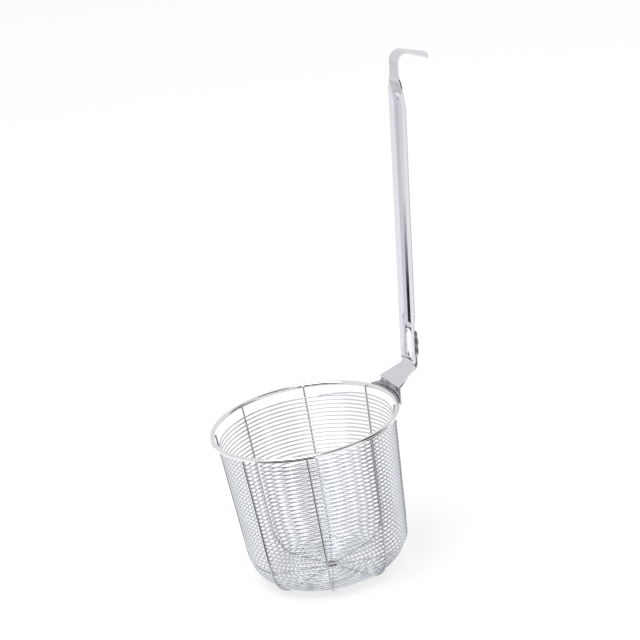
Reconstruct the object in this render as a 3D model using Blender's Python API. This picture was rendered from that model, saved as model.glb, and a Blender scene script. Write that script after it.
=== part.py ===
"""Deep wire basket with a long hooked handle, modelled from its driving sizes.

The basket is one long wire wound down the wall and in over the floor, held by eight stays
that hang from a thick wire rim. A pressed steel channel with a hook is the handle. It sits on a
flared foot bracket that is welded to the outside of the rim.

Units are metres, +Z is up, and the origin is on the underside at the middle of the floor.
The handle stands on the +X side, in the XZ plane.
"""

import math

import bmesh
import bpy
from mathutils import Vector

MM = 0.001

# Clearance between pieces that touch on the real basket
GAP = 0.3 * MM

# Rim
RIM_OD = 180.0 * MM
RIM_WIRE = 4.5 * MM
RIM_Z = 151.2 * MM
RIM_SEGMENTS = 64
RIM_SIDES = 8

# Basket wall and floor, measured at the outside of the stays
BASE_OD = 150.0 * MM
STAY_COUNT = 8
STAY_WIRE = 1.8 * MM
STAY_CORNER_R = 23.0 * MM
STAY_ABOVE_RIM = 0.8 * MM
STAY_CORNER_STEPS = 9

# Wound wire, with fewer steps to a turn where the turns of the floor get small
WINDING_WIRE = 1.3 * MM
WINDING_PITCH = 4.05 * MM
WINDING_CORNER_R = 26.0 * MM
WINDING_TOP_DROP = 6.6 * MM
WINDING_START_DEG = 58.0
WINDING_TUCK_DEG = 38.0
WINDING_EYE_R = 7.0 * MM
FINE_STEPS = 24
COARSE_STEPS = 16
COARSE_BELOW_R = 48.0 * MM

# Weld where the stays meet under the floor
CENTRE_CAP_R = 4.8 * MM
CENTRE_CAP_H = 1.5 * MM
CENTRE_STEM_R = 2.9 * MM
CENTRE_STEPS = 16

# Sheet of the handle and of the foot bracket
SHEET = 1.2 * MM

# Foot bracket
FOOT_BELOW_RIM = 1.6 * MM
FOOT_HUG_H = 2.6 * MM
FOOT_TOP_Z = 161.3 * MM
FOOT_SPAN_DEG = 41.0
FOOT_TOP_W = 41.0 * MM
FOOT_BEND_R = 4.0 * MM
FOOT_SPANS = 10

# Neck, measured along the front line of the handle. The first share of it has no lips.
NECK_RISE_DEG = 31.4
NECK_LENGTH = 25.2 * MM
NECK_BEND_R = 5.0 * MM
FLAT_NECK = 0.4

# Handle strip. Its lips stand forward, to a front line from which depths are measured:
# the web is shallow at the lap and deeper along the grip.
GRIP_TILT_DEG = 7.4
GRIP_LENGTH = 299.5 * MM
GRIP_W = 28.0 * MM
GRIP_TOP_W = 29.4 * MM
WIDER_LENGTH = 90.0 * MM
LAP_DEPTH = 2.4 * MM
GRIP_DEPTH = 3.8 * MM
CORNER_R = 1.8 * MM
CORNER_SPANS = 3
LEAST_LIP = 0.15 * MM
ROW_SHARES = (0.0, 0.4, 0.75, 1.0)

# Long deeper channel of the grip, with a rounded wall at each end
CHANNEL_START = 31.0 * MM
CHANNEL_BELOW_SHOULDER = 3.0 * MM
END_WALL = 4.5 * MM

# Slot through the lap
SLOT_START = 1.0 * MM
SLOT_LENGTH = 28.6 * MM
SLOT_W = 11.2 * MM
SLOT_END_STEPS = 8

# Strap of the foot bracket, behind the lap and forked round the slot
STRAP_LENGTH = 30.0 * MM
STRAP_W = 24.4 * MM
STRAP_LEG = 3.0 * MM

# Shank and hook at the top of the handle
HOOK_W = 18.0 * MM
SHANK_LENGTH = 16.5 * MM
SHOULDER_LENGTH = 21.0 * MM
HOOK_BEND_R = 9.5 * MM
HOOK_DROP_DEG = 23.0
HOOK_ARM = 38.5 * MM
HOOK_TIP_R = 5.0 * MM
TIP_STATIONS_DEG = (0.0, 30.0, 55.0, 75.0)

# Weld beads
BEAD_START = 4.5 * MM
BEAD_LENGTH = 24.5 * MM
BEAD_R = 2.3 * MM
BEAD_FOOT = 0.75
BEAD_RINGS = 14
BEAD_SIDES = 6
BEAD_LUMPS = 2.5
BEAD_RIPPLE = 0.14
BEAD_END = 0.06
BEAD_BLUNT = 0.4
FOOT_BEAD_R = 0.8 * MM
FOOT_BEAD_SPAN_DEG = 40.0
FOOT_BEAD_STEPS = 16

# Sizes that follow from the ones above
RIM_R = (RIM_OD - RIM_WIRE) / 2
STAY_TOP_R = RIM_R - RIM_WIRE / 2 - GAP - STAY_WIRE / 2
STAY_BASE_R = (BASE_OD - STAY_WIRE) / 2
STAY_Z = STAY_WIRE / 2
WALL_LEAN = math.atan2(STAY_TOP_R - STAY_BASE_R, RIM_Z - STAY_Z)
WINDING_INSET = (STAY_WIRE + WINDING_WIRE) / 2 + GAP
FOOT_R = RIM_OD / 2 + GAP
LAP_STEP = SHEET + GAP
CORNER_LENGTH = CORNER_R * math.pi / 2
FLOOR_HALF = GRIP_W / 2 - SHEET - CORNER_R
SHOULDER_START = GRIP_LENGTH - SHANK_LENGTH - SHOULDER_LENGTH
CHANNEL_END = SHOULDER_START - CHANNEL_BELOW_SHOULDER
STAY_FIRST_DEG = 180.0 / STAY_COUNT


def make_material(name, colour, roughness):
    """Return a plain metal of the given colour."""
    material = bpy.data.materials.new(name)
    material.use_nodes = True
    shader = material.node_tree.nodes["Principled BSDF"]
    shader.inputs["Base Color"].default_value = (*colour, 1.0)
    shader.inputs["Roughness"].default_value = roughness
    shader.inputs["Metallic"].default_value = 1.0
    return material


def add_object(name, data, material):
    """Link a mesh or curve to the scene as a named object."""
    obj = bpy.data.objects.new(name, data)
    bpy.context.collection.objects.link(obj)
    data.materials.append(material)
    return obj


def finish_mesh(name, bm, material, sharp_deg=40.0):
    """Turn a bmesh into a smooth shaded object with its faces pointing out."""
    bmesh.ops.recalc_face_normals(bm, faces=bm.faces)
    mesh = bpy.data.meshes.new(name)
    bm.to_mesh(mesh)
    bm.free()
    mesh.shade_smooth()
    mesh.set_sharp_from_angle(angle=math.radians(sharp_deg))
    return add_object(name, mesh, material)


def wire(name, points, diameter, material, resolution=2):
    """Return a round wire with closed ends along the given points."""
    curve = bpy.data.curves.new(name, "CURVE")
    curve.dimensions = "3D"
    curve.twist_mode = "Z_UP"
    curve.bevel_depth = diameter / 2
    curve.bevel_resolution = resolution
    curve.use_fill_caps = True
    spline = curve.splines.new("POLY")
    spline.points.add(len(points) - 1)
    for point, place in zip(spline.points, points):
        point.co = (*place, 1.0)
    spline.use_smooth = True
    return add_object(name, curve, material)


def skin_rings(bm, rings):
    """Close a row of vertex rings into one solid with flat ends."""
    loops = [[bm.verts.new(place) for place in ring] for ring in rings]
    for lower, upper in zip(loops, loops[1:]):
        for i in range(len(lower)):
            j = (i + 1) % len(lower)
            bm.faces.new((lower[i], lower[j], upper[j], upper[i]))
    bm.faces.new(list(reversed(loops[0])))
    bm.faces.new(loops[-1])


class Meridian:
    """Half outline of the basket in (radius, z): wall, corner arc and flat floor.

    It is set in from the line of the stays, and distance runs down the wall and inwards.
    """

    def __init__(self, inset, corner_r, top_z):
        self.radius = corner_r
        floor_z = STAY_Z + inset
        self.centre_z = floor_z + corner_r
        side = STAY_TOP_R - inset / math.cos(WALL_LEAN)
        wall_here = side - (RIM_Z - self.centre_z) * math.tan(WALL_LEAN)
        self.centre_r = wall_here - corner_r / math.cos(WALL_LEAN)
        self.foot_r = self.centre_r + corner_r * math.cos(WALL_LEAN)
        self.foot_z = self.centre_z - corner_r * math.sin(WALL_LEAN)
        self.wall = (top_z - self.foot_z) / math.cos(WALL_LEAN)
        self.arc = corner_r * (math.pi / 2 - WALL_LEAN)

    def point(self, distance):
        """Return (radius, z) at a distance from the top of the wall."""
        if distance <= self.wall:
            left = self.wall - distance
            return (self.foot_r + left * math.sin(WALL_LEAN), self.foot_z + left * math.cos(WALL_LEAN))
        if distance <= self.wall + self.arc:
            angle = WALL_LEAN + (distance - self.wall) / self.radius
            return (
                self.centre_r + self.radius * math.cos(angle),
                self.centre_z - self.radius * math.sin(angle),
            )
        return (self.centre_r - (distance - self.wall - self.arc), self.centre_z - self.radius)


def around(radius, degrees, z):
    """Return the point at a radius and an azimuth."""
    angle = math.radians(degrees)
    return Vector((radius * math.cos(angle), radius * math.sin(angle), z))


def ease(value):
    """Return a smooth step from 0 to 1."""
    value = min(1.0, max(0.0, value))
    return value * value * (3 - 2 * value)


def build_rim(material):
    """Thick round wire bent to a ring."""
    bpy.ops.mesh.primitive_torus_add(
        major_radius=RIM_R,
        minor_radius=RIM_WIRE / 2,
        major_segments=RIM_SEGMENTS,
        minor_segments=RIM_SIDES,
        location=(0, 0, RIM_Z),
    )
    rim = bpy.context.object
    rim.name = "rim_ring"
    rim.data.materials.append(material)
    rim.data.shade_smooth()


def build_stays(material):
    """Eight wires from the inside of the rim, down outside the winding and in under the floor."""
    line = Meridian(0.0, STAY_CORNER_R, RIM_Z + STAY_ABOVE_RIM)
    end_r = CENTRE_STEM_R + GAP
    corner_step = line.arc / STAY_CORNER_STEPS
    outline = [line.point(0.0)]
    outline += [line.point(line.wall + corner_step * i) for i in range(STAY_CORNER_STEPS + 1)]
    outline.append((end_r, STAY_Z))
    for number in range(STAY_COUNT):
        azimuth = STAY_FIRST_DEG + number * 360.0 / STAY_COUNT
        path = [around(radius, azimuth, z) for radius, z in outline]
        wire(f"stay_{number + 1}", path, STAY_WIRE, material)


def build_winding(material):
    """One wire wound down the wall and in over the floor, its top end tucked to the next turn."""
    line = Meridian(WINDING_INSET, WINDING_CORNER_R, RIM_Z - WINDING_TOP_DROP)
    last = line.wall + line.arc + line.centre_r - WINDING_EYE_R
    tuck_drop = WINDING_PITCH - WINDING_WIRE - 2 * GAP
    fine = 360.0 / FINE_STEPS
    coarse = 360.0 / COARSE_STEPS
    first = STAY_FIRST_DEG + math.floor((WINDING_START_DEG - STAY_FIRST_DEG) / fine) * fine
    path = []
    turned = 0.0
    while True:
        distance = WINDING_PITCH * turned / 360.0
        if distance > last:
            break
        tuck = tuck_drop * (1.0 - ease(turned / WINDING_TUCK_DEG))
        radius, z = line.point(distance + tuck)
        path.append(around(radius, first - turned, z))
        on_stay = (first - turned - STAY_FIRST_DEG) % coarse < fine / 2
        turned += coarse if radius < COARSE_BELOW_R and on_stay else fine
    wire("winding_wire", path, WINDING_WIRE, material, resolution=0)


def build_centre_weld(material):
    """Turned nugget that joins the stays, with its cap above them."""
    cap_z = STAY_WIRE + GAP
    profile = [
        (0.0, 0.0),
        (CENTRE_STEM_R - GAP, 0.0),
        (CENTRE_STEM_R, GAP),
        (CENTRE_STEM_R, cap_z),
        (CENTRE_CAP_R, cap_z),
        (CENTRE_CAP_R, cap_z + CENTRE_CAP_H / 3),
        (CENTRE_CAP_R * 3 / 4, cap_z + CENTRE_CAP_H * 5 / 6),
        (0.0, cap_z + CENTRE_CAP_H),
    ]
    bm = bmesh.new()
    verts = [bm.verts.new((radius, 0.0, z)) for radius, z in profile]
    edges = [bm.edges.new(pair) for pair in zip(verts, verts[1:])]
    bmesh.ops.spin(
        bm,
        geom=verts + edges,
        axis=(0, 0, 1),
        cent=(0, 0, 0),
        angle=2 * math.pi,
        steps=CENTRE_STEPS,
        use_merge=True,
    )
    bmesh.ops.remove_doubles(bm, verts=bm.verts, dist=0.001 * MM)
    finish_mesh("centre_weld", bm, material)


class Path:
    """Line in the XZ plane made of straight runs joined by arcs.

    The back of the line is on its right hand, seen with +X to the right and +Z up.
    """

    def __init__(self, corners, radii):
        self.pieces = []
        place = Vector(corners[0])
        for before, corner, after, radius in zip(corners, corners[1:], corners[2:], radii):
            corner = Vector(corner)
            ahead = (corner - Vector(before)).normalized()
            away = (Vector(after) - corner).normalized()
            turn = ahead.x * away.y - ahead.y * away.x
            angle = math.atan2(turn, ahead.dot(away))
            cut = radius * math.tan(abs(angle) / 2)
            self.add_run(place, corner - ahead * cut)
            self.pieces.append(("arc", corner - ahead * cut, ahead, radius, angle, radius * abs(angle)))
            place = corner + away * cut
        self.add_run(place, Vector(corners[-1]))
        self.length = sum(piece[-1] for piece in self.pieces)

    def add_run(self, start, end):
        """Add a straight run."""
        length = (end - start).length
        self.pieces.append(("run", start, (end - start).normalized(), 0.0, 0.0, length))

    def start_of(self, index):
        """Return the distance at which a run or arc starts."""
        return sum(piece[-1] for piece in self.pieces[:index])

    def at(self, distance):
        """Return the point and the direction at a distance."""
        index = 0
        while index < len(self.pieces) - 1 and distance > self.pieces[index][-1]:
            distance -= self.pieces[index][-1]
            index += 1
        kind, start, ahead, radius, angle, _ = self.pieces[index]
        if kind == "run":
            return start + ahead * distance, ahead
        inwards = Vector((-ahead.y, ahead.x)) * math.copysign(1.0, angle)
        done = distance / radius
        here = start + ahead * radius * math.sin(done) + inwards * radius * (1 - math.cos(done))
        return here, ahead * math.cos(done) + inwards * math.sin(done)


def place_on(path, distance, across, depth):
    """Return the 3D point at a distance along a path, off to one side and behind its face."""
    here, ahead = path.at(distance)
    here = here + Vector((ahead.y, -ahead.x)) * depth
    return Vector((here.x, across, here.y))


def sheet_solid(name, rows, thickness, material):
    """Give a grid of points on the face of a sheet its thickness behind it, and close it."""
    count = len(rows)
    width = len(rows[0])

    def normal(i, j):
        along = rows[min(i + 1, count - 1)][j] - rows[max(i - 1, 0)][j]
        across = rows[i][min(j + 1, width - 1)] - rows[i][max(j - 1, 0)]
        return across.cross(along).normalized()

    bm = bmesh.new()
    face = [[bm.verts.new(place) for place in row] for row in rows]
    rear = [
        [bm.verts.new(rows[i][j] + normal(i, j) * thickness) for j in range(width)]
        for i in range(count)
    ]
    for i in range(count - 1):
        for j in range(width - 1):
            bm.faces.new((face[i][j], face[i][j + 1], face[i + 1][j + 1], face[i + 1][j]))
            bm.faces.new((rear[i][j], rear[i + 1][j], rear[i + 1][j + 1], rear[i][j + 1]))
        bm.faces.new((face[i][0], face[i + 1][0], rear[i + 1][0], rear[i][0]))
        bm.faces.new((face[i][-1], rear[i][-1], rear[i + 1][-1], face[i + 1][-1]))
    for j in range(width - 1):
        bm.faces.new((face[0][j], rear[0][j], rear[0][j + 1], face[0][j + 1]))
        bm.faces.new((face[-1][j], face[-1][j + 1], rear[-1][j + 1], rear[-1][j]))
    return finish_mesh(name, bm, material)


def handle_path():
    """Return the front line of the handle, from the foot of its neck to the tip of the hook."""
    rise = math.radians(NECK_RISE_DEG)
    tilt = math.radians(GRIP_TILT_DEG)
    drop = math.radians(HOOK_DROP_DEG)
    start = Vector((FOOT_R - math.sin(rise) * LAP_STEP, FOOT_TOP_Z + math.cos(rise) * LAP_STEP))
    bend = start + Vector((math.cos(rise), math.sin(rise))) * NECK_LENGTH
    top = bend + Vector((math.sin(tilt), math.cos(tilt))) * GRIP_LENGTH
    tip = top + Vector((math.cos(drop), -math.sin(drop))) * HOOK_ARM
    return Path([start, bend, top, tip], [NECK_BEND_R, HOOK_BEND_R])


def grip_start(path):
    """Return the distance along the handle at which its straight part starts."""
    return path.start_of(2)


def web_depth(path, distance, across):
    """Return how far the web is behind the front line at a place on the strip.

    The web sinks along the neck, sinks again at the grip, and comes forward under the hook.
    """
    outer = FLOOR_HALF + END_WALL
    first = grip_start(path) + CHANNEL_START + outer
    last = grip_start(path) + CHANNEL_END - outer
    below = max(first - distance, 0.0)
    above = max(distance - last, 0.0)
    sunk = min(1.0, distance / path.start_of(1))
    lap = LAP_DEPTH * sunk * ease((outer - math.hypot(above, across)) / END_WALL)
    grip = (GRIP_DEPTH - LAP_DEPTH) * ease((outer - math.hypot(below + above, across)) / END_WALL)
    return lap + grip


def arc_reach(length, turn):
    """Return how far an arc of this length and turn goes ahead and to the side."""
    if turn < 1e-6:
        return length, 0.0
    return length * math.sin(turn) / turn, length * (1 - math.cos(turn)) / turn


def strip_half(path, distance):
    """Return half the outside width of the handle at a distance along it."""
    straight = grip_start(path)
    neck = min(1.0, distance / path.start_of(1))
    past_shoulder = distance - straight - SHOULDER_START
    wider = ease(1.0 + past_shoulder / WIDER_LENGTH)
    shoulder = ease(past_shoulder / SHOULDER_LENGTH)
    width = FOOT_TOP_W + (GRIP_W - FOOT_TOP_W) * neck
    width += (GRIP_TOP_W - GRIP_W) * wider + (HOOK_W - GRIP_TOP_W) * shoulder
    half = width / 2
    to_tip = path.length - distance
    if to_tip < HOOK_TIP_R:
        half -= HOOK_TIP_R - math.sqrt(HOOK_TIP_R**2 - (HOOK_TIP_R - to_tip) ** 2)
    return half


def handle_row(path, distance):
    """Return the points across the face of the handle: web, rounded corner and lip."""
    neck = min(1.0, distance / path.start_of(1))
    depth = web_depth(path, distance, FLOOR_HALF)
    turn = math.pi / 2 * ease((neck - FLAT_NECK) / (1.0 - FLAT_NECK)) * min(1.0, depth / CORNER_R)
    lip = max(depth - CORNER_R, LEAST_LIP)
    ahead, aside = arc_reach(CORNER_LENGTH, turn)
    lip_out = ahead + lip * math.cos(turn)
    flat = strip_half(path, distance) - lip_out - SHEET * math.sin(turn)
    half_row = [(share * flat, web_depth(path, distance, share * FLOOR_HALF)) for share in ROW_SHARES]
    for i in range(1, CORNER_SPANS + 1):
        part = i / CORNER_SPANS
        ahead, aside = arc_reach(CORNER_LENGTH * part, turn * part)
        half_row.append((flat + ahead, depth - aside))
    half_row.append((flat + lip_out, depth - aside - lip * math.sin(turn)))
    left = [place_on(path, distance, -across, behind) for across, behind in reversed(half_row)]
    right = [place_on(path, distance, across, behind) for across, behind in half_row[1:]]
    return left + right


def spread(first, last, steps):
    """Return evenly spaced values, the last left out."""
    return [first + (last - first) * i / steps for i in range(steps)]


def build_handle(material):
    """Pressed channel: neck, slotted lap, grip, shoulder, shank and hook."""
    path = handle_path()
    bend = path.start_of(1)
    straight = grip_start(path)
    hook = path.start_of(3)
    arm = path.start_of(4)
    channel = straight + CHANNEL_START
    channel_end = straight + CHANNEL_END
    end_r = FLOOR_HALF + END_WALL
    shoulder = straight + SHOULDER_START
    stations = spread(0.0, bend, 5)
    stations += spread(bend, straight, 5)
    stations += spread(straight, channel, 2)
    stations += spread(channel, channel + end_r, 8)
    stations += spread(channel + end_r, channel_end - end_r, 4)
    stations += spread(channel_end - end_r, channel_end, 8)
    stations += spread(channel_end, shoulder + SHOULDER_LENGTH, 5)
    stations += spread(shoulder + SHOULDER_LENGTH, hook, 1)
    stations += spread(hook, arm, 8)
    stations += spread(arm, path.length - HOOK_TIP_R, 2)
    for turn in map(math.radians, TIP_STATIONS_DEG):
        stations.append(path.length - HOOK_TIP_R * (1 - math.sin(turn)))
    rows = [handle_row(path, distance) for distance in stations]
    handle = sheet_solid("handle", rows, SHEET, material)
    cut_slot(handle, path, SLOT_W, straight + SLOT_START, straight + SLOT_START + SLOT_LENGTH)


def cut_slot(obj, path, width, first, last):
    """Cut a slot with round ends through a sheet, square to its face."""
    radius = width / 2
    outline = []
    for middle, turned in ((last - radius, 0.0), (first + radius, math.pi)):
        for i in range(SLOT_END_STEPS + 1):
            angle = turned + math.pi * i / SLOT_END_STEPS
            outline.append((middle + radius * math.sin(angle), radius * math.cos(angle)))
    bm = bmesh.new()
    reach = 4 * GRIP_DEPTH
    skin_rings(bm, [[place_on(path, s, y, depth) for s, y in outline] for depth in (-reach, reach)])
    cutter = finish_mesh(f"{obj.name}_slot_cutter", bm, obj.data.materials[0])
    cutter.hide_render = True
    cutter.display_type = "WIRE"
    cut = obj.modifiers.new("slot", "BOOLEAN")
    cut.operation = "DIFFERENCE"
    cut.object = cutter


def foot_row(path, distance, half):
    """Return the points across the face of the bracket, round the rim at first and then flat."""
    low = path.start_of(1)
    blend = ease((distance - FOOT_HUG_H) / (low - FOOT_HUG_H))
    half_deg = FOOT_SPAN_DEG / 2
    row = []
    for i in range(FOOT_SPANS + 1):
        part = 2.0 * i / FOOT_SPANS - 1.0
        here = place_on(path, distance, part * half, 0.0)
        arc = around(FOOT_R, part * half_deg, here.z)
        row.append(arc.lerp(here, blend))
    return row


def build_foot_bracket(material):
    """Flared foot on the rim, bent out under the neck and up behind the lap as a fork."""
    handle = handle_path()
    handle_bend = handle.start_of(1)
    strap = grip_start(handle)
    behind = LAP_DEPTH + LAP_STEP
    foot = Vector((FOOT_R, RIM_Z - FOOT_BELOW_RIM))
    low = Vector((FOOT_R, FOOT_TOP_Z))
    high = place_on(handle, handle_bend, 0.0, behind).xz
    path = Path([foot, low, high], [FOOT_BEND_R])
    fold = path.start_of(1)
    neck = path.start_of(2)
    stations = [0.0, FOOT_HUG_H]
    stations += spread(FOOT_HUG_H, fold, 4)[1:]
    stations += spread(fold, neck, 5)
    stations += spread(neck, path.length, 3)
    rows = []
    for distance in stations:
        along = max(0.0, (distance - neck) / (path.length - neck))
        rows.append(foot_row(path, distance, (FOOT_TOP_W + (STRAP_W - FOOT_TOP_W) * along) / 2))
    for distance in spread(handle_bend, strap, 5) + [strap, strap + STRAP_LENGTH]:
        parts = [2.0 * i / FOOT_SPANS - 1.0 for i in range(FOOT_SPANS + 1)]
        rows.append([place_on(handle, distance, part * STRAP_W / 2, behind) for part in parts])
    bracket = sheet_solid("foot_bracket", rows, SHEET, material)
    fork_w = STRAP_W - 2 * STRAP_LEG
    cut_slot(bracket, handle, fork_w, strap, strap + STRAP_LENGTH + fork_w)


def build_handle_weld(name, side, material):
    """Lumpy bead over one edge of the strap, down to the back of the lap."""
    path = handle_path()
    first = grip_start(path) + BEAD_START
    edge = STRAP_W / 2
    lap_back = LAP_DEPTH + LAP_STEP
    strap_back = lap_back + LAP_STEP
    rings = []
    for i in range(BEAD_RINGS + 1):
        part = i / BEAD_RINGS
        swell = math.sin(math.pi * (BEAD_END + (1 - 2 * BEAD_END) * part)) ** BEAD_BLUNT
        ripple = 1 - BEAD_RIPPLE + BEAD_RIPPLE * math.cos(2 * math.pi * BEAD_LUMPS * part)
        radius = BEAD_R * swell * ripple
        outline = [(edge + GAP, lap_back), (edge + GAP, strap_back)]
        for step in range(BEAD_SIDES + 1):
            angle = math.pi * (1 - step / BEAD_SIDES)
            outline.append((edge + radius * math.cos(angle), strap_back + radius * math.sin(angle)))
        outline.append((edge + radius * BEAD_FOOT, lap_back))
        distance = first + BEAD_LENGTH * part
        rings.append([place_on(path, distance, side * across, depth) for across, depth in outline])
    bm = bmesh.new()
    skin_rings(bm, rings)
    finish_mesh(name, bm, material)


def build_foot_weld(material):
    """Thin bead in the groove between the top of the rim and the foot."""
    radius = FOOT_R - GAP - FOOT_BEAD_R
    reach = RIM_WIRE / 2 + GAP + FOOT_BEAD_R
    rise = math.sqrt(reach**2 - (radius - RIM_R) ** 2)
    path = [
        around(radius, FOOT_BEAD_SPAN_DEG * (i / FOOT_BEAD_STEPS - 0.5), RIM_Z + rise)
        for i in range(FOOT_BEAD_STEPS + 1)
    ]
    wire("foot_weld", path, 2 * FOOT_BEAD_R, material, resolution=1)


def main():
    """Clear the scene and build every piece."""
    for obj in list(bpy.data.objects):
        bpy.data.objects.remove(obj)
    polished = make_material("polished_wire", (0.78, 0.79, 0.81), 0.12)
    drawn = make_material("drawn_wire", (0.66, 0.67, 0.70), 0.22)
    pressed = make_material("pressed_sheet", (0.76, 0.76, 0.79), 0.24)
    tinted = make_material("heat_tinted_sheet", (0.42, 0.41, 0.42), 0.34)
    weld = make_material("weld_metal", (0.30, 0.27, 0.25), 0.5)
    build_rim(polished)
    build_stays(drawn)
    build_winding(drawn)
    build_centre_weld(weld)
    build_handle(pressed)
    build_foot_bracket(tinted)
    build_handle_weld("handle_weld_near", -1.0, weld)
    build_handle_weld("handle_weld_far", 1.0, weld)
    build_foot_weld(weld)


main()
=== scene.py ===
"""Finish of a deep wire basket: the wound wire, its stays and rim, and the pressed steel handle.

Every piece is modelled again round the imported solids, at their places, with round wires, rounded
sheet edges, weld metal and procedural steel. Units are metres, +Z is up, and the handle stands on
the +X side. The camera and a plain pale studio are the stage.
"""

import math

import bpy
from mathutils import Matrix, Vector


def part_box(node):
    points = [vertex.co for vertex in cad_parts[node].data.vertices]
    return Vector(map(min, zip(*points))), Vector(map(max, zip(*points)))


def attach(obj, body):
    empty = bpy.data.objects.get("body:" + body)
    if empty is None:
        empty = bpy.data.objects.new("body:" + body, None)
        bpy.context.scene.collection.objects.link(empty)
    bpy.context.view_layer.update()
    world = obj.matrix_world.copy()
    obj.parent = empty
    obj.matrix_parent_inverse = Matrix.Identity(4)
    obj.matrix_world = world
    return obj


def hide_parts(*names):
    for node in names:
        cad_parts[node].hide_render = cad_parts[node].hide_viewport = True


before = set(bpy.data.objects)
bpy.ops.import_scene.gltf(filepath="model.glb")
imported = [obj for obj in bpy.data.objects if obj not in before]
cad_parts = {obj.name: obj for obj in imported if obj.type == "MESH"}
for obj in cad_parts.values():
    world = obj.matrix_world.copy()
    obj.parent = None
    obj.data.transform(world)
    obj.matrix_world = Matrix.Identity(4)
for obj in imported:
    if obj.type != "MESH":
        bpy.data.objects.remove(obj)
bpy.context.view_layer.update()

bl_info = {
    "name": "Deep Wire Basket",
    "version": (1, 0, 0),
    "blender": (4, 5, 0),
    "location": "View3D > Sidebar > Basket",
    "description": "Builds a deep round wire basket with a hooked steel handle",
    "category": "Object",
}

MM = 0.001
BODY = "root"

# Sizes read from the solids
RIM_LOW, RIM_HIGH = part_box("rim_ring")
RIM_OD = RIM_HIGH.x - RIM_LOW.x
RIM_WIRE = RIM_HIGH.z - RIM_LOW.z
RIM_Z = (RIM_HIGH.z + RIM_LOW.z) / 2

# Gap between pieces that a weld joins
WELD_GAP = 0.3 * MM

# Wires: inner end of a stay, steps in its bend, and sides of a stay and of the wound wire
STAY_END_R = 3.2 * MM
STAY_BEND_STEPS = 24
STAY_SIDES = 16
WINDING_SIDES = 10

# Nugget: share of its radius that is in its lobes, and how flat its faces are
NUGGET_LOBES = 0.06
NUGGET_FLATNESS = 0.7

# Sheet: how soon a deeper web folds its lips, width of a corner's column while the sheet is flat,
# length left off the hook's end, and how soon the bracket's neck narrows
LIP_FOLD = 0.6
FLAT_COLUMN = MM / 2
HOOK_TRIM = 0.1 * MM
NECK_NARROWING = 1.35

# Weld on the strap: a row of balls that swells towards its middle, ripples and wanders sideways
STRAP_LUMPS = 13
SWELL_START = 0.14
SWELL_SPAN = 0.74
SWELL_POWER = 0.4
RIPPLE_COUNT = 2.2
RIPPLE_SHARE = 0.20
RIPPLE_START = 0.16
WANDER = 0.25 * MM
WANDER_TURN = 5.0
LUMP_SHAPE = (1.0, 1.0, 1.25)
STRAP_VOXEL = 0.3 * MM

# Weld on the foot: a row of balls with ripples, each a share and a turn from ball to ball
FOOT_LUMPS = 60
FOOT_RIPPLES = ((0.12, 2.6), (0.08, 7.1))
FOOT_VOXEL = 0.25 * MM

# Steels: colour and roughness as the finish names them, strength and scale of the clouds and of
# the scratches, and strength of the bump
STEELS = {
    "Polished wire": ("rim_colour", "rim_roughness", (0.05, 45.0), (0.03, 1500.0), 0.02),
    # The stays' colour holds painted shade: it is the drawn wire's colour darkened to stand in for the dark
    # reflections on the stays.
    "Stay wire": ("stay_painted_shade_colour", "wire_roughness", (0.12, 80.0), (0.08, 2500.0), 0.04),
    "Wound wire": ("wire_colour", "wire_roughness", (0.12, 80.0), (0.08, 2500.0), 0.04),
    "Pressed sheet": ("sheet_colour", "sheet_roughness", (0.08, 120.0), (0.08, 2600.0), 0.02),
    "Heat tinted sheet": ("tint_colour", "tint_roughness", (2.2, 110.0), (0.12, 1800.0), 0.08),
    "Weld metal": ("weld_colour", "weld_roughness", (0.5, 500.0), (0.3, 3000.0), 0.3),
}
CLOUD_DETAIL = 4.0
SCRATCH_DETAIL = 3.0
BUMP_DEPTH = 0.05 * MM

# Scale of the pressed sheet's scratches along the handle, and heights between which heat tint fades
GRAIN = 0.03
TINT_FADE = (160.0 * MM, 166.0 * MM)

# Dark gaps of the studio, in degrees, with the azimuth from +X towards +Y, and the grey inside them
GAP_LABELS = ("Azimuth", "Width", "Elevation", "Height", "Softness")
DARK_GAPS = (
    (-133.0, 50.0, 30.0, 70.0, 9.0),
    (-27.0, 36.0, 34.0, 80.0, 5.0),
    (-77.5, 60.0, 54.0, 34.0, 3.0),
)
GAP_GREY = 0.02

# Cards on the floor: first and last azimuth in degrees, near edge, where the black ends, where the
# fade ends, far edge, and the grey that the black fades to, then the steps round them, their height
# and the grey of the black
FLOOR_CARDS = (
    (-173.0, -106.0, 0.13, 0.58, 0.66, 0.72, 0.86),
    (-45.0, -9.0, 0.14, 0.38, 0.44, 0.48, 0.86),
    (-14.0, -3.0, 0.50, 0.80, 2.4, 2.6, 0.86),
    (105.0, 118.0, 0.72, 0.98, 1.62, 12.0, 0.72),
)
CARD_STEPS = 12
CARD_Z = 0.4 * MM
CARD_GREY = 0.012

# Soft lamp: its place, its direction from what it points at, and its side
LAMP_PLACE = (-0.8, -0.4, 2.4)
LAMP_DIRECTION = (-0.8, -0.4, 2.25)
LAMP_SIDE = 1.6

# Camera: width of its sensor in millimetres, and how far it sees
SENSOR = 36.0
SIGHT = 100.0

# Distance between shader nodes in the editor
NODE_STEP = 200


def number(name, description, default, subtype="NONE", **more):
    """Return a property for a number."""
    return bpy.props.FloatProperty(
        name=name, description=description, default=default, subtype=subtype, **more
    )


def metres(name, description, default):
    """Return a property for a length in metres."""
    return number(name, description, default, "DISTANCE", unit="LENGTH", precision=5)


def mm(name, description, default):
    """Return a property for a length, given in millimetres."""
    return metres(name, description, default * MM)


def angle(name, description, degrees):
    """Return a property for an angle, given in degrees."""
    return number(name, description, math.radians(degrees), "ANGLE", unit="ROTATION")


def share(name, description, default):
    """Return a property for a share between nothing and all."""
    return number(name, description, default, "FACTOR", min=0.0, max=1.0)


def count(name, description, default):
    """Return a property for a whole number."""
    return bpy.props.IntProperty(name=name, description=description, default=default, min=1)


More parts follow.
